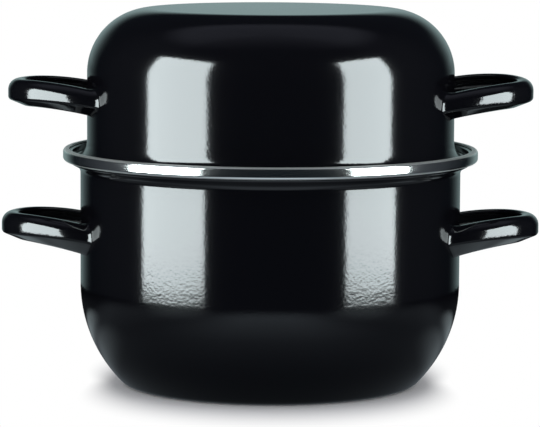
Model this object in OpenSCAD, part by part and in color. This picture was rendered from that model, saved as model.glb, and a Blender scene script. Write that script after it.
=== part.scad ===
// Two-part enamelled steel casserole for mussels: a deep pot with a stainless rim band,
// and a domed lid that turns over into a bowl. Each carries two pressed loop handles.
// Millimetres, +Z up. The origin is the middle of the pot's base, where it stands.
// The handles point along X, and the front is -Y.

/* [Pot] */
// Outer radius of the pot's straight wall
pot_r = 100; // [90:1:120]
// Thickness of the enamelled sheet, pot and lid alike
sheet = 1.5; // [1:0.1:2]
// Height at which the straight wall ends and the rim begins to flare
wall_top = 112; // [100:0.1:150]
// Radius of the belly, the large round between wall and base
belly_r = 73; // [60:1:80]
// Height at which the belly runs into the straight wall
belly_top = 53.4; // [50:0.1:62]
// Small radius where the belly turns into the flat base
base_corner_r = 8; // [4:0.5:12]
// Width of the flat ring that the pot stands on, round the panel pressed up into the base
foot_ring_w = 10.3; // [6:0.1:14]
// Height that the panel is pressed up
panel_rise = 0.8; // [0.4:0.1:1.2]

/* [Rim] */
// Radius of the hollow curve where the wall turns outwards
flare_hollow_r = 4; // [3:0.1:6]
// Inner radius of the round curve where the flare turns upright again
flare_round_in_r = 0.4; // [0.2:0.1:1]
// How far the flare leans out from upright, in degrees
flare_lean = 62; // [50:1:70]
// How far the flare steps out beyond the wall
flare_out = 5.5; // [4.5:0.1:7]
// Height of the rolled edge on top of the flare
roll_h = 4; // [2.4:0.1:4.5]
// How far the rolled edge stands out beyond the flare
roll_out = 2.5; // [2:0.1:4]

/* [Rim band] */
// Thickness of the stainless strip
band_t = 0.8; // [0.5:0.1:1]
// Gap between the strip and the rolled edge that it is crimped on
band_gap = 0.3; // [0.2:0.05:0.4]
// How far the strip reaches in over the top of the rolled edge
band_lip_top = 3.2; // [2:0.1:3.4]
// How far the strip curls in under the rolled edge
band_lip_bottom = 2.4; // [1.5:0.1:2.6]
// Outer radius of the strip's two rounded edges
band_edge_r = 1.7; // [1.5:0.1:2.2]

/* [Lid] */
// How far the lid's straight wall lies inside the pot's
lid_inset = 3.5; // [3:0.1:6]
// Height of the lid over its rolled edge
lid_h = 80.6; // [72:0.1:100]
// Radius of the lid's shoulder
shoulder_r = 34; // [20:0.5:42]
// Radius of the trumpet mouth that spreads into the pot's rim
mouth_r = 11; // [8:0.5:14]
// Radius of the rolled edge round the lid's mouth
lid_roll_r = 1.6; // [1.2:0.1:1.9]
// Gap at the side between the lid's rolled edge and the pot's rim
lid_side_gap = 0.4; // [0.3:0.1:0.8]
// Gap under the lid's rolled edge where it rests on the flare
lid_seat_gap = 0.1; // [0.05:0.05:0.3]

/* [Handles] */
// How far the pot's handles stand out from its wall
pot_handle_out = 41.6; // [38:0.1:55]
// How far the lid's handles stand out from its wall
lid_handle_out = 41.5; // [38:0.1:55]
// Height of the lower corner of the pot's handles at the wall
pot_handle_z = 77.8; // [66:0.1:90]
// Height of the lower corner of the lid's handles at the wall, over the lid's rolled edge
lid_handle_up = 30.4; // [20:0.1:34]
// Angle at which the handles rise outwards at the wall, in degrees
handle_rise = 9.4; // [4:0.1:14]
// How far the tip droops below the line of that rise
tip_droop = 5.9; // [0:0.1:8]
// Angle at which the lid's right handle sits out of level, front leg low, in degrees
lid_right_tilt = 3.6; // [0:0.1:5]
// How much higher the lid's right handle sits than its left one
lid_right_lift = 1; // [0:0.1:2]
// Angle at which each leg of a handle leans in towards its tip, in degrees
leg_lean = 8; // [4:0.5:24]
// Outer radius of the bend in each leg, seen from above
leg_bend_r = 64.5; // [50:0.5:90]
// Leg angle at which the leg's bend passes into the tip, in degrees
tip_angle = 38.5; // [32:0.5:44]
// Outer radius of the tip, seen from above
tip_r = 30; // [24:0.5:34]
// Thickness of the pressed handle sheet
handle_t = 1.6; // [1.2:0.1:2]
// Depth of the handle's channel, from its outer face to its open side
channel_d = 8.8; // [8:0.1:10]
// Height of the upright strip of the outer face at the wall
face_h = 1; // [0.6:0.1:4]
// Height of the upright strip of the outer face at the tip
face_h_tip = 4.7; // [1:0.1:6]
// Radius of the round upper shoulder of the channel
channel_r = 7; // [5:0.1:7.5]
// Inner radius of the lower corner of the channel
lower_in_r = 0.1; // [0.1:0.1:1]
// Drop of the sloping lower lip at the wall, on the pot's handles
pot_lip_drop = 8.6; // [4:0.1:9]
// Drop of the sloping lower lip at the wall, on the lid's handles
lid_lip_drop = 6; // [4:0.1:9]
// Drop of the sloping lower lip at the tip
lip_drop_tip = 2.2; // [1:0.1:4]
// How far the channel spreads where it meets the wall
foot_spread = 0.6; // [0.2:0.1:1]
// How far the lower lip's end hangs down where it meets the wall
foot_hang = 1.2; // [1:0.1:3]
// Length of leg over which the foot spreads
foot_len = 3.2; // [2:0.1:4]
// Gap between a handle's foot and the wall that it is welded to
weld_gap = 0.1; // [0.05:0.05:0.2]

/* [Hidden] */
$fn = 180;
enamel = [0.07, 0.07, 0.09];
stainless = [0.80, 0.81, 0.82];
eps = 0.01;
// Overlap of shapes that are drawn apart and merged
lap = 1;

// Belly and base: the belly's centre, and the angle at which the base corner takes over
belly_x = pot_r - belly_r;
corner_turn = asin((belly_top - base_corner_r) / (belly_r - base_corner_r));
base_flat_r = belly_x + (belly_r - base_corner_r) * cos(corner_turn);
panel_r = base_flat_r - foot_ring_w;

// Flare: a hollow curve, a straight slope and a round curve, tangent to each other
flare_round_r = flare_round_in_r + sheet;
flare_slope = (flare_out - (flare_hollow_r + flare_round_r) * (1 - cos(flare_lean))) / sin(flare_lean);
flare_h = (flare_hollow_r + flare_round_r) * sin(flare_lean) + flare_slope * cos(flare_lean);
collar_r = pot_r + flare_out;
flare_top = wall_top + flare_h;
roll_z = flare_top + band_gap + band_t;
roll_r = collar_r + roll_out;
rim_top = roll_z + roll_h;

// Band: the outside of the crimped strip
band_r = roll_r + band_gap + band_t;
band_z = roll_z - band_gap - band_t;
band_top = rim_top + band_gap + band_t;

// Lid seat: the lid's rolled edge rests on the inner slope of the flare
lid_r = pot_r - lid_inset;
seat_r = collar_r - sheet - lid_side_gap - lid_roll_r;
slope_r = pot_r + flare_hollow_r - (flare_hollow_r + sheet) * cos(flare_lean);
slope_z = wall_top + (flare_hollow_r + sheet) * sin(flare_lean);
seat_z = slope_z + (seat_r - slope_r) / tan(flare_lean) + (lid_roll_r + lid_seat_gap) / sin(flare_lean);
lid_z = seat_z - lid_roll_r;
lid_top = lid_z + lid_h;
mouth_turn = acos(1 - (seat_r - lid_r + sheet / 2) / (mouth_r + sheet / 2));
mouth_top = seat_z + (mouth_r + sheet / 2) * sin(mouth_turn);
shoulder_z = lid_top - shoulder_r;

// Handles: points along their section and their path
lower_r = lower_in_r + handle_t;
LIP_STEPS = 3;
CORNER_STEPS = 3;
SHOULDER_STEPS = 6;
LEG_STEPS = 6;
TIP_STEPS = 9;
FOOT_STEPS = [0, 0.3, 0.65, 1];

// Cross-section of a vessel's round bottom and straight wall, drawn in by an inset
module pot_bowl_2d(inset, top) {
    big = belly_r - inset;
    small = base_corner_r - inset;
    down = [cos(corner_turn), -sin(corner_turn)];
    centre = [belly_x, belly_top];
    meet = centre + big * down;
    beyond = centre + 2 * big * down;
    polygon([[0, inset], [base_flat_r, inset], meet, centre + [lap, lap], [0, belly_top + lap]]);
    translate([base_flat_r, base_corner_r]) circle(small);
    intersection() {
        translate(centre) circle(big);
        polygon([centre, beyond, [pot_r + belly_r, beyond[1]], [pot_r + belly_r, belly_top + lap]]);
    }
    translate([0, belly_top]) square([pot_r - inset, top - belly_top + eps]);
}

// Flare above the wall: the inset moves the surface inwards, so one drawing serves both faces
module flare_2d(inset, top) {
    hollow = flare_hollow_r + inset;
    round = flare_round_r - inset;
    hollow_x = pot_r + flare_hollow_r;
    round_x = collar_r - flare_round_r;
    lower = [hollow_x - hollow * cos(flare_lean), wall_top + hollow * sin(flare_lean)];
    upper = [round_x + round * cos(flare_lean), flare_top - round * sin(flare_lean)];
    difference() {
        polygon([
            [0, wall_top], [hollow_x, wall_top], lower, upper,
            [round_x + round, flare_top], [round_x + round, top], [0, top]
        ]);
        translate([hollow_x, wall_top]) circle(hollow);
    }
    translate([round_x, flare_top]) circle(round);
}

// Rectangle with round corners, from its lower left corner
module round_rect(w, h, r) {
    translate([0, r]) square([w, h - 2 * r]);
    translate([r, 0]) square([w - 2 * r, h]);
    for (x = [r, w - r], z = [r, h - r]) translate([x, z]) circle(r);
}

module pot_section() {
    roll_corner = band_edge_r - band_t - band_gap;
    difference() {
        union() {
            pot_bowl_2d(0, wall_top);
            flare_2d(0, roll_z + roll_corner);
            translate([collar_r - sheet, roll_z])
                round_rect(sheet + roll_out, roll_h, roll_corner);
        }
        pot_bowl_2d(sheet, wall_top);
        flare_2d(sheet, rim_top - roll_corner);
        polygon([
            [0, -eps], [panel_r, -eps], [panel_r - 2 * panel_rise, panel_rise], [0, panel_rise]
        ]);
    }
    // The floor of the pot follows the panel up
    polygon([
        [0, panel_rise], [panel_r - 2 * panel_rise, panel_rise], [panel_r, 0], [panel_r, sheet],
        [panel_r - 2 * panel_rise, sheet + panel_rise], [0, sheet + panel_rise]
    ]);
}

module pot_body() {
    color(enamel) rotate_extrude() pot_section();
}

// Stainless strip folded round the rolled edge, open towards the pot
module band_section() {
    inner_r = band_r - band_lip_top;
    hollow_r = band_edge_r - band_t;
    w = band_lip_top + 2 * band_edge_r;
    h = band_top - band_z;
    difference() {
        translate([band_r - w, band_z]) round_rect(w, h, band_edge_r);
        translate([band_r - w - band_t, band_z + band_t])
            round_rect(w, h - 2 * band_t, hollow_r);
        translate([0, band_z - eps]) square([inner_r, h + 2 * eps]);
        translate([0, band_z - eps]) square([band_r - band_lip_bottom, h / 2]);
    }
}

module pot_rim_band() {
    color(stainless) rotate_extrude() band_section();
}

// Outline of the lid from its axis to one face of the sheet
module lid_bowl_2d(inset) {
    round = shoulder_r - inset;
    hub = lid_r - shoulder_r;
    square_top = lid_top - inset;
    translate([0, mouth_top]) square([lid_r - inset, shoulder_z - mouth_top]);
    translate([0, shoulder_z - eps]) square([hub, square_top - shoulder_z + eps]);
    intersection() {
        translate([hub, shoulder_z]) circle(round);
        translate([hub - lap, shoulder_z - lap]) square(round + 2 * lap);
    }
}

// Trumpet mouth: a ring sector between the sheet's two faces, and the rolled edge
module lid_mouth_2d() {
    centre = [lid_r + mouth_r, mouth_top];
    reach = 2 * (mouth_r + sheet);
    intersection() {
        translate(centre) difference() {
            circle(mouth_r + sheet);
            circle(mouth_r);
        }
        translate(centre) polygon([
            [0, 0], [-reach, 0], [-reach, -reach],
            [-reach * cos(mouth_turn), -reach * sin(mouth_turn)]
        ]);
    }
    translate([seat_r, seat_z]) circle(lid_roll_r);
}

module lid_shell() {
    color(enamel) rotate_extrude() {
        difference() {
            lid_bowl_2d(0);
            translate([0, -eps]) lid_bowl_2d(sheet);
            translate([0, mouth_top - eps]) square([lid_r - sheet, sheet]);
        }
        lid_mouth_2d();
    }
}

// One face of the channel's sheet, as [outwards, up] points from the lower corner of the
// outer face: the sloping lip, the lower corner, the round shoulder and the inner edge.
// The inset draws the face in by the sheet's thickness. The foot spreads the corners by
// one value and lets the end of the lip hang by the other.
function lip_turn(drop) = atan(drop / channel_d);
function channel_face(drop, face, spread, hang, inset) =
    let (
        turn = lip_turn(drop),
        corner_up = lower_r * tan((90 - turn) / 2),
        lip_end = [-channel_d, -drop + inset / cos(turn)] + hang * [sin(turn), -cos(turn)],
        corner = [for (i = [0 : CORNER_STEPS])
            let (a = (turn - 90) * (1 - i / CORNER_STEPS))
            [-lower_r, corner_up] + (lower_r - inset + spread) * [cos(a), sin(a)]],
        lip = [for (i = [0 : LIP_STEPS - 1]) lip_end + (corner[0] - lip_end) * i / LIP_STEPS],
        shoulder = [for (i = [0 : SHOULDER_STEPS])
            let (a = 90 * i / SHOULDER_STEPS)
            [-channel_r, face] + (channel_r - inset + spread) * [cos(a), sin(a)]],
        top = [-channel_d, face + channel_r - inset + spread]
    )
    concat(lip, corner, shoulder, [top]);

// A handle's outer face seen from above: tip arc, bent leg, then a straight leg to the wall
function tip_centre(reach) = [reach - tip_r, 0];
function bend_centre(reach) =
    tip_centre(reach) + (leg_bend_r - tip_r) * [-sin(tip_angle), cos(tip_angle)];
function outward(a) = [sin(a), -cos(a)];
function along(a) = [cos(a), sin(a)];
function leg_end(reach) = bend_centre(reach) + leg_bend_r * outward(leg_lean);

// Distance back along the straight leg at which a point of the section meets the wall
function to_wall(point, wall_r) =
    let (forward = point * along(leg_lean))
    forward - sqrt(forward * forward - point * point + wall_r * wall_r);

// Share of the way from the wall to the tip, and a size that changes along it
function share(x, reach, root_x) = min(1, max(0, (x - root_x) / (reach - root_x)));
function between(at_wall, at_tip, part) = at_wall + (at_tip - at_wall) * part;
function foot_ease(e) = (1 - e) * (1 - e);
function tilted(p, tilt) =
    [p[0], p[1] * cos(tilt) - p[2] * sin(tilt), p[1] * sin(tilt) + p[2] * cos(tilt)];

// One ring of points round the sheet: the outer face up, then the inner face down
function ring(at, angle, part, root_x, lip_drop, spread, hang) =
    let (
        drop = between(lip_drop, lip_drop_tip, part),
        face = between(face_h, face_h_tip, part),
        outer = channel_face(drop, face, spread, hang, 0),
        inner = channel_face(drop, face, spread, hang, handle_t),
        last = len(outer) - 1,
        loop = concat(outer, [for (i = [last : -1 : 0]) inner[i]])
    )
    [for (p = loop)
        let (xy = at + p[0] * outward(angle))
        [xy[0], xy[1], p[1] + (xy[0] - root_x) * tan(handle_rise) - tip_droop * part * part]];

// Ring at the foot: every point of the section lies the same distance off the wall
function foot_ring(e, reach, wall_r, root_x, lip_drop, tilt) =
    let (
        start = leg_end(reach),
        ease = foot_ease(e),
        base = ring(start, leg_lean, share(start[0], reach, root_x), root_x, lip_drop,
            foot_spread * ease, foot_hang * ease)
    )
    [for (b = base)
        let (
            p = tilted(b, tilt),
            plan = [p[0], p[1]],
            back = to_wall(plan, wall_r) - e * foot_len,
            move = -back * along(leg_lean)
        )
        [p[0] + move[0], p[1] + move[1],
            p[2] + move[0] * tan(handle_rise) + move[1] * tan(tilt)]];

function half_handle(reach, wall_r, lip_drop, tilt) =
    let (
        root = leg_end(reach) - to_wall(leg_end(reach), wall_r) * along(leg_lean),
        root_x = root[0],
        leg_angles = [for (i = [0 : LEG_STEPS]) between(leg_lean, tip_angle, i / LEG_STEPS)],
        tip_angles = [for (i = [1 : TIP_STEPS]) between(tip_angle, 90, i / TIP_STEPS)],
        places = concat(
            [for (a = leg_angles) [bend_centre(reach) + leg_bend_r * outward(a), a]],
            [for (a = tip_angles) [tip_centre(reach) + tip_r * outward(a), a]]
        )
    )
    concat(
        [for (e = FOOT_STEPS) foot_ring(e, reach, wall_r, root_x, lip_drop, tilt)],
        [for (place = places)
            let (part = share(place[0][0], reach, root_x))
            [for (p = ring(place[0], place[1], part, root_x, lip_drop, 0, 0)) tilted(p, tilt)]]
    );

// Skin of a swept sheet: the rings joined side to side, and a strip of quads at each end
module swept_sheet(rings) {
    n = len(rings[0]);
    count = len(rings);
    half = n / 2;
    function quad(a, b, c, d) = [[a, b, c], [a, c, d]];
    sides = [for (k = [0 : count - 2], i = [0 : n - 1])
        let (j = (i + 1) % n)
        each quad(k * n + i, k * n + j, (k + 1) * n + j, (k + 1) * n + i)];
    start = [for (i = [0 : half - 2]) each quad(i, n - 1 - i, n - 2 - i, i + 1)];
    end = [for (i = [0 : half - 2])
        let (b = (count - 1) * n)
        each quad(b + i, b + i + 1, b + n - 2 - i, b + n - 1 - i)];
    polyhedron([for (r = rings) each r], concat(sides, start, end), convexity = 6);
}

// The whole loop on the +X side: the half from -Y to the tip, then the half from +Y mirrored
module handle(reach, wall_r, z, lip_drop, tilt = 0) {
    front = half_handle(reach, wall_r + weld_gap, lip_drop, tilt);
    back = half_handle(reach, wall_r + weld_gap, lip_drop, -tilt);
    mirrored = [for (k = [len(back) - 2 : -1 : 0]) [for (p = back[k]) [p[0], -p[1], p[2]]]];
    translate([0, 0, z]) swept_sheet(concat(front, mirrored));
}

module pot_handle() {
    handle(pot_r + pot_handle_out, pot_r, pot_handle_z, pot_lip_drop);
}

module lid_handle(tilt, lift) {
    handle(lid_r + lid_handle_out, lid_r, lid_z + lid_handle_up + lift, lid_lip_drop, tilt);
}

module pot_handle_right() {
    color(enamel) pot_handle();
}

module pot_handle_left() {
    color(enamel) mirror([1, 0, 0]) pot_handle();
}

module lid_handle_right() {
    color(enamel) lid_handle(lid_right_tilt, lid_right_lift);
}

module lid_handle_left() {
    color(enamel) mirror([1, 0, 0]) lid_handle(0, 0);
}

pot_body();
pot_rim_band();
pot_handle_left();
pot_handle_right();
lid_shell();
lid_handle_left();
lid_handle_right();
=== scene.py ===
"""Black enamelled mussel pot with its domed lid, in a plain studio.

The shells and the rim band are turned profiles, and the four loop handles are pressed
channels that sweep round a bent path. Sizes are millimetres in the frame of the part.
"""
from math import acos, asin, atan, atan2, cos, degrees, pi, radians, sin, sqrt, tan

import bmesh
import bpy
from mathutils import Matrix, Vector


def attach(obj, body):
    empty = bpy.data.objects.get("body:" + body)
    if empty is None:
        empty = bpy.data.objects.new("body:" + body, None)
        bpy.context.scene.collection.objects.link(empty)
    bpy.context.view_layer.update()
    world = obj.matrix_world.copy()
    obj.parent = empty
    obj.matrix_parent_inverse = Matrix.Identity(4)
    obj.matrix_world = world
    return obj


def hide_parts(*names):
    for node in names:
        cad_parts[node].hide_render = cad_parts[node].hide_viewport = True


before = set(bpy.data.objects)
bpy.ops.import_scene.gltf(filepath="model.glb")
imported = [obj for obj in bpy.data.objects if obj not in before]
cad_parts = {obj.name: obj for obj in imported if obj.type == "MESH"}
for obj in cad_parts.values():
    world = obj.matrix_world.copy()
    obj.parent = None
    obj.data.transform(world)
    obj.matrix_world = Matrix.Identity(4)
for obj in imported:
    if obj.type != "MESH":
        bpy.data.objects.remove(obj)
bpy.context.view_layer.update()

MM = 0.001
SHARP_ANGLE = radians(38)
MERGE = 0.005 * MM
GRID_MERGE = 0.001 * MM

# Steps round and along the curves
TURN_STEPS = 288
CORNER_STEPS = 10
BIG_CURVE_STEPS = 40
POT_WALL_STEPS = 6
LID_WALL_STEPS = 5
SMALL_STEPS = 6
ROLL_STEPS = 4
MOUTH_STEPS = 14
LID_ROLL_STEPS = 20
SHEET_END_STEPS = 5
LIP_STEPS = 5
CHANNEL_STEPS = 14
FOOT_STEPS = 8
BEND_STEPS = 12
TIP_STEPS = 20

# Sheet and pot
SHEET = 1.5
POT_R = 100
WALL_TOP = 112
BELLY_R = 73
BELLY_TOP = 53.4
BASE_CORNER_R = 8
FOOT_RING_W = 10.3
PANEL_RISE = 0.8
PANEL_SLOPE = 1.6

# Flare and rolled edge of the pot
FLARE_HOLLOW_R = 4
FLARE_ROUND_IN_R = 0.4
FLARE_LEAN = 62
FLARE_OUT = 5.5
ROLL_H = 4
ROLL_OUT = 2.5

# Rim band
BAND_T = 0.8
BAND_GAP = 0.3
BAND_LIP_TOP = 3.2
BAND_LIP_BOTTOM = 2.4
BAND_EDGE_R = 1.7

# Lid
LID_INSET = 3.5
LID_H = 80.6
SHOULDER_R = 34
MOUTH_R = 11
LID_ROLL_R = 1.6
LID_SIDE_GAP = 0.4
LID_SEAT_GAP = 0.1

# Handles
POT_HANDLE_OUT = 41.6
LID_HANDLE_OUT = 41.5
POT_HANDLE_Z = 77.8
LID_HANDLE_UP = 30.4
HANDLE_RISE = 9.4
TIP_DROOP = 5.9
LID_RIGHT_TILT = 3.6
LID_RIGHT_LIFT = 1
LEG_LEAN = 8
LEG_BEND_R = 64.5
TIP_ANGLE = 38.5
TIP_R = 30
HANDLE_T = 1.6
CHANNEL_D = 8.8
FACE_H = 1
FACE_H_TIP = 4.7
CHANNEL_R = 7
LOWER_IN_R = 0.1
POT_LIP_DROP = 8.6
LID_LIP_DROP = 6
LIP_DROP_TIP = 2.2
FOOT_SPREAD = 0.6
FOOT_HANG = 1.2
FOOT_LEN = 3.2
FOOT_SINK = 0.2

# Worked out as in the part
POT_BELLY_X = POT_R - BELLY_R
CORNER_TURN = degrees(asin((BELLY_TOP - BASE_CORNER_R) / (BELLY_R - BASE_CORNER_R)))
BASE_FLAT_R = POT_BELLY_X + (BELLY_R - BASE_CORNER_R) * cos(radians(CORNER_TURN))
PANEL_R = BASE_FLAT_R - FOOT_RING_W
FLARE_ROUND_R = FLARE_ROUND_IN_R + SHEET
LEAN = radians(FLARE_LEAN)
FLARE_SLOPE = (FLARE_OUT - (FLARE_HOLLOW_R + FLARE_ROUND_R) * (1 - cos(LEAN))) / sin(LEAN)
FLARE_TOP = WALL_TOP + (FLARE_HOLLOW_R + FLARE_ROUND_R) * sin(LEAN) + FLARE_SLOPE * cos(LEAN)
COLLAR_R = POT_R + FLARE_OUT
ROLL_Z = FLARE_TOP + BAND_GAP + BAND_T
ROLL_R = COLLAR_R + ROLL_OUT
RIM_TOP = ROLL_Z + ROLL_H
BAND_R = ROLL_R + BAND_GAP + BAND_T
BAND_Z = FLARE_TOP
BAND_TOP = RIM_TOP + BAND_GAP + BAND_T
LID_R = POT_R - LID_INSET
SEAT_R = COLLAR_R - SHEET - LID_SIDE_GAP - LID_ROLL_R
SLOPE_R = POT_R + FLARE_HOLLOW_R - (FLARE_HOLLOW_R + SHEET) * cos(LEAN)
SLOPE_Z = WALL_TOP + (FLARE_HOLLOW_R + SHEET) * sin(LEAN)
SEAT_Z = SLOPE_Z + (SEAT_R - SLOPE_R) / tan(LEAN) + (LID_ROLL_R + LID_SEAT_GAP) / sin(LEAN)
LID_Z = SEAT_Z - LID_ROLL_R
LID_TOP = LID_Z + LID_H
MOUTH_TURN = degrees(acos(1 - (SEAT_R - LID_R + SHEET / 2) / (MOUTH_R + SHEET / 2)))
MOUTH_TOP = SEAT_Z + (MOUTH_R + SHEET / 2) * sin(radians(MOUTH_TURN))
SHOULDER_Z = LID_TOP - SHOULDER_R
END_OUT = HANDLE_T / 4


# Shapes

def arc(centre, radius, start, end, steps):
    """Points (out, up) along an arc, both ends included. Angles are in degrees from outwards."""
    angles = [radians(start + (end - start) * i / steps) for i in range(steps + 1)]
    return [(centre[0] + radius * cos(a), centre[1] + radius * sin(a)) for a in angles]


def finish_piece(bm, name, material, node):
    """Makes a piece of a bmesh: smooth faces, sharp edges, its finish, and the node it replaces."""
    bmesh.ops.remove_doubles(bm, verts=bm.verts, dist=MERGE)
    bmesh.ops.recalc_face_normals(bm, faces=bm.faces)
    for face in bm.faces:
        face.smooth = True
    for edge in bm.edges:
        edge.smooth = len(edge.link_faces) == 2 and edge.calc_face_angle() < SHARP_ANGLE
    mesh = bpy.data.meshes.new(name)
    bm.to_mesh(mesh)
    bm.free()
    mesh.materials.append(material)
    piece = bpy.data.objects.new(name, mesh)
    bpy.context.scene.collection.objects.link(piece)
    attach(piece, "root")
    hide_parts(node)


def turned(profile, closed):
    """A profile of (out, up) points spun round the vertical axis. A closed profile is a ring."""
    bm = bmesh.new()
    verts = [bm.verts.new((r * MM, 0, z * MM)) for r, z in profile]
    pairs = list(zip(verts, verts[1:]))
    if closed:
        pairs.append((verts[-1], verts[0]))
    edges = [bm.edges.new(pair) for pair in pairs]
    bmesh.ops.spin(
        bm, geom=verts + edges, cent=(0, 0, 0), axis=(0, 0, 1), dvec=(0, 0, 0),
        angle=2 * pi, steps=TURN_STEPS, use_merge=True, use_normal_flip=False,
        use_duplicate=False,
    )
    return bm


def bowl_face(inset):
    """One face of the pot's sheet, from the ring round the base panel to the top of the flare."""
    hollow = FLARE_HOLLOW_R + inset
    round_r = FLARE_ROUND_R - inset
    wall = [
        (POT_R - inset, BELLY_TOP + (WALL_TOP - BELLY_TOP) * i / POT_WALL_STEPS)
        for i in range(1, POT_WALL_STEPS)]
    return (
        arc((BASE_FLAT_R, BASE_CORNER_R), BASE_CORNER_R - inset, -90, -CORNER_TURN, CORNER_STEPS)
        + arc((POT_BELLY_X, BELLY_TOP), BELLY_R - inset, -CORNER_TURN, 0, BIG_CURVE_STEPS)[1:]
        + wall
        + arc((POT_R + FLARE_HOLLOW_R, WALL_TOP), hollow, 180, 180 - FLARE_LEAN, CORNER_STEPS)
        + arc((COLLAR_R - FLARE_ROUND_R, FLARE_TOP), round_r, -FLARE_LEAN, 0, SMALL_STEPS)
    )


def pot_profile():
    """Section of the pot's sheet: its outside up to the rim, then its inside down to the middle."""
    corner = BAND_EDGE_R - BAND_T - BAND_GAP
    inner_r = COLLAR_R - SHEET
    panel = [(PANEL_R - PANEL_SLOPE, PANEL_RISE), (PANEL_R, 0)]
    roll = (
        [(COLLAR_R, ROLL_Z)]
        + arc((ROLL_R - corner, ROLL_Z + corner), corner, -90, 0, ROLL_STEPS)
        + arc((ROLL_R - corner, RIM_TOP - corner), corner, 0, 90, ROLL_STEPS)
        + arc((inner_r + corner, RIM_TOP - corner), corner, 90, 180, SMALL_STEPS)
    )
    inside = list(reversed(bowl_face(SHEET)))
    floor_in = [(r, z + SHEET) for r, z in reversed(panel)]
    return (
        [(0, PANEL_RISE)] + panel + bowl_face(0) + roll + inside
        + floor_in + [(0, PANEL_RISE + SHEET)]
    )


def band_profile():
    """Section of the steel strip: its outside from the upper lip round to the lower, and back."""
    hollow = BAND_EDGE_R - BAND_T
    edge_x = BAND_R - BAND_EDGE_R
    top = BAND_TOP - BAND_EDGE_R
    bottom = BAND_Z + BAND_EDGE_R
    lip_top = BAND_R - BAND_LIP_TOP
    lip_bottom = BAND_R - BAND_LIP_BOTTOM
    outside = (
        arc((edge_x, top), BAND_EDGE_R, 90, 0, CORNER_STEPS)
        + arc((edge_x, bottom), BAND_EDGE_R, 0, -90, CORNER_STEPS))
    inside = (
        arc((edge_x, bottom), hollow, -90, 0, SMALL_STEPS)
        + arc((edge_x, top), hollow, 0, 90, SMALL_STEPS))
    return (
        [(lip_top, BAND_TOP)] + outside + [(lip_bottom, BAND_Z), (lip_bottom, BAND_Z + BAND_T)]
        + inside + [(lip_top, BAND_TOP - BAND_T)]
    )


def lid_face(inset):
    """One face of the lid's sheet, from the middle of its top to the end of the trumpet mouth."""
    hub = LID_R - SHOULDER_R
    wall = [
        (LID_R - inset, SHOULDER_Z + (MOUTH_TOP - SHOULDER_Z) * i / LID_WALL_STEPS)
        for i in range(1, LID_WALL_STEPS)]
    return (
        [(0, LID_TOP - inset)]
        + arc((hub, SHOULDER_Z), SHOULDER_R - inset, 90, 0, BIG_CURVE_STEPS)
        + wall
        + arc((LID_R + MOUTH_R, MOUTH_TOP), MOUTH_R + inset, 180, 180 + MOUTH_TURN, MOUTH_STEPS)
    )


def lid_profile():
    """Section of the lid's sheet: its outside down to the rolled edge, round it and back inside."""
    outside = lid_face(0)
    inside = lid_face(SHEET)
    start, end = [
        degrees(atan2(face[-1][1] - SEAT_Z, face[-1][0] - SEAT_R)) for face in (outside, inside)
    ]
    if end > start:
        end -= 360
    roll = arc((SEAT_R, SEAT_Z), LID_ROLL_R, start, end, LID_ROLL_STEPS)
    return outside + roll + list(reversed(inside))


# Handles: a pressed channel whose section is given as (outwards, up) from the lower corner of
# its outer face, swept from the wall along a leaning leg, a bend and a round tip

def round_end(outer, inner, forward):
    """Flattened half round that closes the sheet from its outer face to its inner face."""
    centre = (outer + inner) / 2
    half = (outer - inner) / 2
    turns = [pi * i / (SHEET_END_STEPS + 1) for i in range(1, SHEET_END_STEPS + 1)]
    return [centre + half * cos(t) + forward * half.length / 2 * sin(t) for t in turns]


def channel_face(drop, face, spread, hang, inset):
    """One face of the channel's sheet, from the end of the lower lip round to the upper edge."""
    turn = atan(drop / CHANNEL_D)
    lower_r = LOWER_IN_R + HANDLE_T
    corner_up = lower_r * tan((pi / 2 - turn) / 2)
    back = CHANNEL_D - END_OUT
    below = Vector((sin(turn), -cos(turn)))
    lip_end = Vector((-back, -back * tan(turn) + inset / cos(turn))) + hang * below
    corner = [
        Vector(p) for p in arc(
            (-lower_r, corner_up), lower_r - inset + spread, degrees(turn) - 90, 0, SMALL_STEPS)
    ]
    shoulder = [
        Vector(p) for p in arc(
            (-CHANNEL_R, face), CHANNEL_R - inset + spread, 0, 90, CHANNEL_STEPS)
    ]
    lip = [lip_end.lerp(corner[0], i / LIP_STEPS) for i in range(LIP_STEPS)]
    return lip + corner + shoulder + [Vector((-back, face + CHANNEL_R - inset + spread))]


def channel_ring(drop, face, spread=0, hang=0):
    """All points round the channel's sheet."""
    outer = channel_face(drop, face, spread, hang, 0)
    inner = channel_face(drop, face, spread, hang, HANDLE_T)
    turn = atan(drop / CHANNEL_D)
    top_end = round_end(outer[-1], inner[-1], Vector((-1, 0)))
    lip_end = round_end(inner[0], outer[0], Vector((-cos(turn), -sin(turn))))
    return outer + top_end + list(reversed(inner)) + lip_end


def outward(angle):
    return Vector((sin(radians(angle)), -cos(radians(angle))))


def along(angle):
    return Vector((cos(radians(angle)), sin(radians(angle))))


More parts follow.
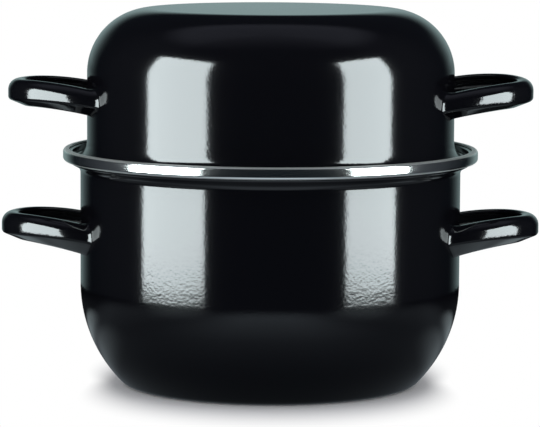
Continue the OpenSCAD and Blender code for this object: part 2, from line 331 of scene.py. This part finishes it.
def half_rings(reach, wall_r, lip_drop, tilt):
    """Rings of points from the foot at the front to the tip."""
    tip = Vector((reach - TIP_R, 0))
    bend = tip - (LEG_BEND_R - TIP_R) * outward(TIP_ANGLE)
    leg_end = bend + LEG_BEND_R * outward(LEG_LEAN)
    leg = along(LEG_LEAN)
    slope = tan(radians(HANDLE_RISE))
    level = Matrix.Rotation(radians(tilt), 3, "X")

    def to_wall(point):
        forward = point.dot(leg)
        return forward - sqrt(forward ** 2 - point.length_squared + wall_r ** 2)

    root_x = (leg_end - to_wall(leg_end) * leg).x

    def placed(at, angle, spread=0, hang=0):
        part = min(1, max(0, (at.x - root_x) / (reach - root_x)))
        drop = lip_drop + (LIP_DROP_TIP - lip_drop) * part
        face = FACE_H + (FACE_H_TIP - FACE_H) * part
        points = []
        for out, up in channel_ring(drop, face, spread, hang):
            plan = at + out * outward(angle)
            lift = up + (plan.x - root_x) * slope - TIP_DROOP * part ** 2
            points.append(level @ Vector((plan.x, plan.y, lift)))
        return points

    rings = []
    for i in range(FOOT_STEPS + 1):
        part = i / FOOT_STEPS
        ease = (1 - part) ** 2
        foot = []
        for p in placed(leg_end, LEG_LEAN, FOOT_SPREAD * ease, FOOT_HANG * ease):
            move = -(to_wall(p.xy) - part * FOOT_LEN) * leg
            lift = move.x * slope + move.y * tan(radians(tilt))
            foot.append(p + Vector((move.x, move.y, lift)))
        rings.append(foot)
    for i in range(BEND_STEPS + 1):
        angle = LEG_LEAN + (TIP_ANGLE - LEG_LEAN) * i / BEND_STEPS
        rings.append(placed(bend + LEG_BEND_R * outward(angle), angle))
    for i in range(1, TIP_STEPS + 1):
        angle = TIP_ANGLE + (90 - TIP_ANGLE) * i / TIP_STEPS
        rings.append(placed(tip + TIP_R * outward(angle), angle))
    return rings


def handle(reach, wall_r, height, lip_drop, side, tilt=0):
    """The loop on the +X side, or mirrored to the -X side: a grid wrapped round the rings."""
    rings = half_rings(reach, wall_r - FOOT_SINK, lip_drop, tilt)
    back = half_rings(reach, wall_r - FOOT_SINK, lip_drop, -tilt)
    rings += [[Vector((p.x, -p.y, p.z)) for p in ring] for ring in reversed(back[:-1])]
    around = len(rings[0])
    bm = bmesh.new()
    bmesh.ops.create_grid(bm, x_segments=around, y_segments=len(rings) - 1, size=1)
    for vert in bm.verts:
        i = round((vert.co.x + 1) / 2 * around) % around
        k = round((vert.co.y + 1) / 2 * (len(rings) - 1))
        vert.co = (rings[k][i] + Vector((0, 0, height))) * MM
    bmesh.ops.remove_doubles(bm, verts=bm.verts, dist=GRID_MERGE)
    bmesh.ops.holes_fill(bm, edges=[e for e in bm.edges if e.is_boundary], sides=0)
    bmesh.ops.scale(bm, vec=(side, 1, 1), verts=bm.verts)
    return bm


# Finishes

ENAMEL_COLOUR = (0.0031, 0.0032, 0.0048, 1)
ENAMEL_ROUGHNESS = 0.10
ENAMEL_IOR = 1.52
WAVE_SCALE, WAVE_DEPTH = 240.0, 0.000009
GRAIN_SCALE, GRAIN_DEPTH = 700.0, 0.000023

# Painted shade: the coat's shine is turned down on the belly, so its reflections are darker there.
# Between these heights in metres it goes from the first level of shine to the second
BELLY_SHADE_RISE = (0.034, 0.056)
BELLY_SHADE_SHINE = (0.15, 0.5)

# The steel is polished in the middle of the band and duller at its edges, and changes between
# these two distances from an edge. Fine lines run round it
STEEL_COLOUR = (0.83, 0.84, 0.82, 1)
STEEL_ROUGHNESS = (0.07, 0.36)
STEEL_EDGE = (1.1, 0.4)
LINE_STRETCH = (40, 40, 6000)
LINE_ROUGHNESS = 0.06
LINE_DEPTH = 0.0000015


def wiring(tree):
    """Short ways to add maths, soft steps and tints to a node tree."""
    def maths(operation, *values):
        node = tree.nodes.new("ShaderNodeMath")
        node.operation = operation
        for socket, value in zip(node.inputs, values):
            if hasattr(value, "node"):
                tree.links.new(value, socket)
            else:
                socket.default_value = value
        return node.outputs[0]

    def step(value, start, end, low=0.0, high=1.0):
        node = tree.nodes.new("ShaderNodeMapRange")
        node.interpolation_type = "SMOOTHSTEP"
        tree.links.new(value, node.inputs["Value"])
        keys = ("From Min", "From Max", "To Min", "To Max")
        for key, number in zip(keys, (start, end, low, high)):
            node.inputs[key].default_value = number
        return node.outputs["Result"]

    def tinted(layers):
        """Adds up layers of (brightness, tint)."""
        colour = tree.nodes.new("ShaderNodeCombineXYZ")
        for i, socket in enumerate(colour.inputs):
            total = maths("MULTIPLY", layers[0][0], layers[0][1][i])
            for level, tint in layers[1:]:
                total = maths("ADD", total, maths("MULTIPLY", level, tint[i]))
            tree.links.new(total, socket)
        return colour.outputs[0]

    return maths, step, tinted


def new_material(name):
    """A material with its own shader, and short ways to add a node and join two sockets."""
    material = bpy.data.materials.new(name)
    material.use_nodes = True
    tree = material.node_tree
    shader = tree.nodes["Principled BSDF"]

    def add(kind, **values):
        node = tree.nodes.new(kind)
        for key, value in values.items():
            node.inputs[key].default_value = value
        return node

    return material, shader, add, tree.links.new


def black_enamel():
    """Glossy vitreous enamel: nearly black, with the faint waves and grain of a fired coat."""
    material, shader, add, join = new_material("black_enamel")
    _, step, _ = wiring(material.node_tree)
    shader.inputs["Base Color"].default_value = ENAMEL_COLOUR
    shader.inputs["Roughness"].default_value = ENAMEL_ROUGHNESS
    shader.inputs["IOR"].default_value = ENAMEL_IOR
    place, split = add("ShaderNodeTexCoord"), add("ShaderNodeSeparateXYZ")
    waves = add("ShaderNodeTexNoise", Scale=WAVE_SCALE, Detail=1.0)
    grain = add("ShaderNodeTexNoise", Scale=GRAIN_SCALE, Detail=1.0)
    wave_bump = add("ShaderNodeBump", Strength=1.0, Distance=WAVE_DEPTH)
    grain_bump = add("ShaderNodeBump", Strength=1.0, Distance=GRAIN_DEPTH)
    join(place.outputs["Object"], split.inputs[0])
    # painted shade: the belly reflects less, by this height mask
    join(step(split.outputs["Z"], *BELLY_SHADE_RISE, *BELLY_SHADE_SHINE), shader.inputs["Specular IOR Level"])
    join(place.outputs["Object"], waves.inputs["Vector"])
    join(place.outputs["Object"], grain.inputs["Vector"])
    join(waves.outputs["Fac"], wave_bump.inputs["Height"])
    join(grain.outputs["Fac"], grain_bump.inputs["Height"])
    join(wave_bump.outputs["Normal"], grain_bump.inputs["Normal"])
    join(grain_bump.outputs["Normal"], shader.inputs["Normal"])
    return material


def rim_steel():
    """Stainless steel: a polished face with very fine lines round the rim, and duller edges."""
    material, shader, add, join = new_material("rim_steel")
    maths, step, _ = wiring(material.node_tree)
    shader.inputs["Base Color"].default_value = STEEL_COLOUR
    shader.inputs["Metallic"].default_value = 1
    place, split = add("ShaderNodeTexCoord"), add("ShaderNodeSeparateXYZ")
    stretch = add("ShaderNodeMapping", Scale=LINE_STRETCH)
    lines = add("ShaderNodeTexNoise", Scale=1.0, Detail=3.0)
    bump = add("ShaderNodeBump", Strength=1.0, Distance=LINE_DEPTH)
    join(place.outputs["Object"], stretch.inputs["Vector"])
    join(place.outputs["Object"], split.inputs[0])
    join(stretch.outputs["Vector"], lines.inputs["Vector"])
    middle, half = (BAND_Z + BAND_TOP) / 2, (BAND_TOP - BAND_Z) / 2
    off = maths("ABSOLUTE", maths("SUBTRACT", split.outputs["Z"], middle * MM))
    duller = step(off, *[(half - distance) * MM for distance in STEEL_EDGE], *STEEL_ROUGHNESS)
    roughness = maths("MULTIPLY_ADD", lines.outputs["Fac"], LINE_ROUGHNESS, duller)
    join(roughness, shader.inputs["Roughness"])
    join(lines.outputs["Fac"], bump.inputs["Height"])
    join(bump.outputs["Normal"], shader.inputs["Normal"])
    return material


# Studio, in metres. What the camera sees of the floor: the pot's real diffuse shadow, lifted by a
# painted glow, up to a circle round the pot. From there a painted fade to white, quickly at the
# sides and slowly in front, gives the shadow a painted outline
FLOOR_R = 0.42
FLOOR_STEPS = 128
FLOOR_DROP = 0.0001
SHADOW_R = 0.081
SHADOW_SIDE = 0.0092
SHADOW_FRONT = 0.036
SHADOW_TURN_POWER = 1.6
SHADOW_FADE = (0.05, 1.6)
FLOOR_PALE = (0.73, 0.735, 0.765)
FLOOR_GLOW_LIFT = 0.04

# What shiny surfaces see of the table is a painted glow, not lit: bright in front of the pot, and
# dimmer to the sides, behind and, as painted shade, close to it. Painted pools of light, each with
# its place, its fade and its brightness, lie before each softbox, beside the handles and further
# back
TABLE_TINT = (0.78, 0.90, 1.0)
TABLE_FRONT = 0.62
TABLE_SIDE = 0.18
TABLE_SIDE_FADE = (0.04, 0.17)
TABLE_BEHIND = 0.10
TABLE_BEHIND_FADE = (0.0, 0.12)
TABLE_NEAR_SHADE = 0.28
TABLE_NEAR_SHADE_FADE = (0.09, 0.17)
TABLE_EDGE = (0.24, 0.40)
POOL_TINT = (0.80, 0.95, 1.0)
FRONT_POOL = ((0.25, -0.22), (0.03, 0.13), 0.35)
SIDE_POOL = ((0.130, 0.01), (0.01, 0.055), 0.26)
BACK_POOL = ((0.160, 0.10), (0.015, 0.07), 0.45)


def studio_floor():
    """A pale table top fading into the white background; it keeps the pot's shadow and has a
    painted glow.
    """
    bm = bmesh.new()
    bmesh.ops.create_circle(bm, cap_ends=True, radius=FLOOR_R, segments=FLOOR_STEPS)
    mesh = bpy.data.meshes.new("studio_floor")
    bm.to_mesh(mesh)
    bm.free()
    floor = bpy.data.objects.new("studio_floor", mesh)
    bpy.context.scene.collection.objects.link(floor)
    floor.location.z = -FLOOR_DROP

    material = bpy.data.materials.new("pale_floor")
    material.use_nodes = True
    tree = material.node_tree
    nodes, join = tree.nodes, tree.links.new
    nodes.clear()
    maths, step, tinted = wiring(tree)
    place, split = nodes.new("ShaderNodeTexCoord"), nodes.new("ShaderNodeSeparateXYZ")
    join(place.outputs["Object"], split.inputs[0])
    across, depth = maths("ABSOLUTE", split.outputs[0]), split.outputs[1]

    def distance(x, y):
        dx, dy = maths("SUBTRACT", across, x), maths("SUBTRACT", depth, y)
        return maths("SQRT", maths("ADD", maths("MULTIPLY", dx, dx), maths("MULTIPLY", dy, dy)))

    radius = distance(0, 0)
    table = step(across, *TABLE_SIDE_FADE, TABLE_FRONT, TABLE_SIDE)
    # painted shade: the glow is dimmer close to the pot
    for dimmer in (
        step(radius, *TABLE_EDGE, 1, 0),
        step(depth, *TABLE_BEHIND_FADE, 1, TABLE_BEHIND),
        step(radius, *TABLE_NEAR_SHADE_FADE, TABLE_NEAR_SHADE, 1),
    ):
        table = maths("MULTIPLY", table, dimmer)
    # painted pools of light
    front, side, back = [
        step(distance(*spot), *fade, glow, 0)
        for spot, fade, glow in (FRONT_POOL, SIDE_POOL, BACK_POOL)]
    pool = maths("ADD", maths("ADD", front, side), back)
    # painted glow that only shiny surfaces see; the floor is no lamp
    painted_table_glow = nodes.new("ShaderNodeEmission")
    join(tinted([(table, TABLE_TINT), (pool, POOL_TINT)]), painted_table_glow.inputs["Color"])

    pale = nodes.new("ShaderNodeBsdfDiffuse")
    pale.inputs["Color"].default_value = FLOOR_PALE + (1,)
    # painted glow: the lift brightens the shaded floor near the pot; white is the plain white
    # background
    lift, white = nodes.new("ShaderNodeEmission"), nodes.new("ShaderNodeEmission")
    lift.inputs["Strength"].default_value = FLOOR_GLOW_LIFT
    near = nodes.new("ShaderNodeAddShader")
    seen, whole = nodes.new("ShaderNodeMixShader"), nodes.new("ShaderNodeMixShader")
    ray, out = nodes.new("ShaderNodeLightPath"), nodes.new("ShaderNodeOutputMaterial")
    join(pale.outputs[0], near.inputs[0])
    join(lift.outputs[0], near.inputs[1])
    # painted shadow outline: beyond this offset circle the real shade fades into white
    ahead = maths("POWER", maths("ABSOLUTE", maths("DIVIDE", depth, radius)), SHADOW_TURN_POWER)
    width = maths("ADD", maths("MULTIPLY", ahead, SHADOW_FRONT), SHADOW_SIDE)
    outside = maths("DIVIDE", maths("SUBTRACT", radius, SHADOW_R), width)
    join(step(outside, *SHADOW_FADE), seen.inputs[0])
    join(near.outputs[0], seen.inputs[1])
    join(white.outputs[0], seen.inputs[2])
    join(ray.outputs["Is Camera Ray"], whole.inputs[0])
    join(painted_table_glow.outputs[0], whole.inputs[1])
    join(seen.outputs[0], whole.inputs[2])
    join(whole.outputs[0], out.inputs["Surface"])
    mesh.materials.append(material)


# What shiny surfaces see of the studio: a pale backdrop behind, a dark room in front, dim
# side walls and a dim panel overhead. Directions are in degrees: turn from straight behind,
# height over the horizon, and for the panel the angle up from the front and over
BACKDROP_HALF = (17, 43)
BACKDROP_RISE = (8, 22)
BACKDROP_LOW = 0.26
BACKDROP_HIGH = 0.41
BACKDROP_LOW_TO_HIGH = (-2, 2)
BACKDROP_TINT = (0.735, 1.0, 1.0)
ROOM = (0.005, 0.008, 0.011)
SIDES = 0.034
SIDES_TURN = (40, 82)
SIDES_END = (100, 115)
SIDES_TINT = (0.78, 0.84, 1.0)
PANEL = 0.205
PANEL_RISE_OVER = (46, 62)
PANEL_FRONT = (56, 100)
PANEL_BACK = (114, 125)
PANEL_TINT = (0.77, 0.81, 1.0)


def studio_world():
    """White for the camera, plain for dull surfaces, and the studio for shiny ones."""
    world = bpy.data.worlds.new("studio")
    bpy.context.scene.world = world
    world.use_nodes = True
    tree = world.node_tree
    nodes, join = tree.nodes, tree.links.new
    nodes.clear()
    maths, step, tinted = wiring(tree)
    place, split = nodes.new("ShaderNodeTexCoord"), nodes.new("ShaderNodeSeparateXYZ")
    join(place.outputs["Generated"], split.inputs[0])
    x, y, z = split.outputs
    turn = maths("ARCTAN2", maths("ABSOLUTE", x), y)
    rise = maths("ARCSINE", z)
    over = maths("ARCTAN2", z, maths("MULTIPLY", y, -1))

    def window(value, span, low=0.0, high=1.0):
        return step(value, radians(span[0]), radians(span[1]), low, high)

    backdrop = maths(
        "MULTIPLY", window(turn, BACKDROP_HALF, 1, 0), window(rise, BACKDROP_RISE, 1, 0))
    backdrop = maths(
        "MULTIPLY", backdrop, window(rise, BACKDROP_LOW_TO_HIGH, BACKDROP_LOW, BACKDROP_HIGH))
    sides = maths("MULTIPLY", window(turn, SIDES_TURN), window(turn, SIDES_END, SIDES, 0))
    panel = maths("MULTIPLY", window(rise, PANEL_RISE_OVER), window(over, PANEL_FRONT, 0, PANEL))
    panel = maths("MULTIPLY", panel, window(over, PANEL_BACK, 1, 0))
    studio_light = tinted([
        (backdrop, BACKDROP_TINT), (sides, SIDES_TINT), (panel, PANEL_TINT), (1.0, ROOM)])

    ray = nodes.new("ShaderNodeLightPath")
    plain, studio, white = [nodes.new("ShaderNodeBackground") for _ in range(3)]
    join(studio_light, studio.inputs["Color"])
    plain.inputs["Color"].default_value = (1, 1, 1, 1)
    white.inputs["Color"].default_value = (1, 1, 1, 1)
    by_gloss, by_camera = nodes.new("ShaderNodeMixShader"), nodes.new("ShaderNodeMixShader")
    out = nodes.new("ShaderNodeOutputWorld")
    join(ray.outputs["Is Glossy Ray"], by_gloss.inputs[0])
    join(plain.outputs[0], by_gloss.inputs[1])
    join(studio.outputs[0], by_gloss.inputs[2])
    join(ray.outputs["Is Camera Ray"], by_camera.inputs[0])
    join(by_gloss.outputs[0], by_camera.inputs[1])
    join(white.outputs[0], by_camera.inputs[2])
    join(by_camera.outputs[0], out.inputs["Surface"])


SOFTBOX_TINT = (0.88, 0.98, 1.0)


def softbox(name, azimuth, distance, width, low, high, glow):
    """A tall box of light that only shiny surfaces see. Azimuth is from the camera's side."""
    data = bpy.data.lights.new(name, "AREA")
    data.shape = "RECTANGLE"
    data.color = SOFTBOX_TINT
    data.size = width
    data.size_y = high - low
    data.energy = glow * pi * width * (high - low)
    box = bpy.data.objects.new(name, data)
    bpy.context.scene.collection.objects.link(box)
    turn = radians(azimuth)
    place = Vector((distance * sin(turn), -distance * cos(turn), (low + high) / 2))
    facing = Vector((-place.x, -place.y, 0))
    aim = facing.to_track_quat("-Z", "Y").to_matrix().to_4x4()
    box.matrix_world = Matrix.Translation(place) @ aim
    box.visible_diffuse = False


# The camera's focal length in pixels of the picture's width, its distance and aim in
# millimetres, and its angles in degrees
IMAGE_W = 540
CAMERA_F = 3410
CAMERA_D = 1800
CAMERA_PITCH = 6.42
CAMERA_AIM_Z = 89.8
CAMERA_X = -0.1
CAMERA_ROLL = 0.3
SENSOR_W = 36


def camera():
    """The photograph's view: from the front, a little above, and turned very slightly."""
    data = bpy.data.cameras.new("camera")
    data.sensor_width = SENSOR_W
    data.lens = CAMERA_F / IMAGE_W * SENSOR_W
    eye = bpy.data.objects.new("camera", data)
    bpy.context.scene.collection.objects.link(eye)
    pitch = radians(CAMERA_PITCH)
    aim = Vector((CAMERA_X, 0, CAMERA_AIM_Z)) * MM
    eye.location = aim + CAMERA_D * MM * Vector((0, -cos(pitch), sin(pitch)))
    eye.rotation_euler = (
        Matrix.Rotation(pi / 2 - pitch, 3, "X") @ Matrix.Rotation(radians(CAMERA_ROLL), 3, "Z")
    ).to_euler()
    bpy.context.scene.camera = eye


camera()
studio_floor()
studio_world()
softbox("softbox_left", azimuth=-58.7, distance=1.2, width=0.90, low=-0.104, high=0.92, glow=14.8)
softbox("softbox_right", azimuth=60.8, distance=1.2, width=0.71, low=-0.098, high=0.92, glow=14.2)

enamel = black_enamel()
steel = rim_steel()
finish_piece(turned(pot_profile(), False), "enamelled_pot", enamel, "pot_body")
finish_piece(turned(band_profile(), True), "rim_strip", steel, "pot_rim_band")
finish_piece(turned(lid_profile(), False), "enamelled_lid", enamel, "lid_shell")
for side, word, tilt, lift in (
    (1, "right", LID_RIGHT_TILT, LID_RIGHT_LIFT),
    (-1, "left", 0, 0),
):
    finish_piece(
        handle(POT_R + POT_HANDLE_OUT, POT_R, POT_HANDLE_Z, POT_LIP_DROP, side),
        "pot_loop_" + word, enamel, "pot_handle_" + word)
    finish_piece(
        handle(
            LID_R + LID_HANDLE_OUT, LID_R, LID_Z + LID_HANDLE_UP + lift, LID_LIP_DROP, side, tilt),
        "lid_loop_" + word, enamel, "lid_handle_" + word)

bpy.context.scene.view_settings.view_transform = "Standard"
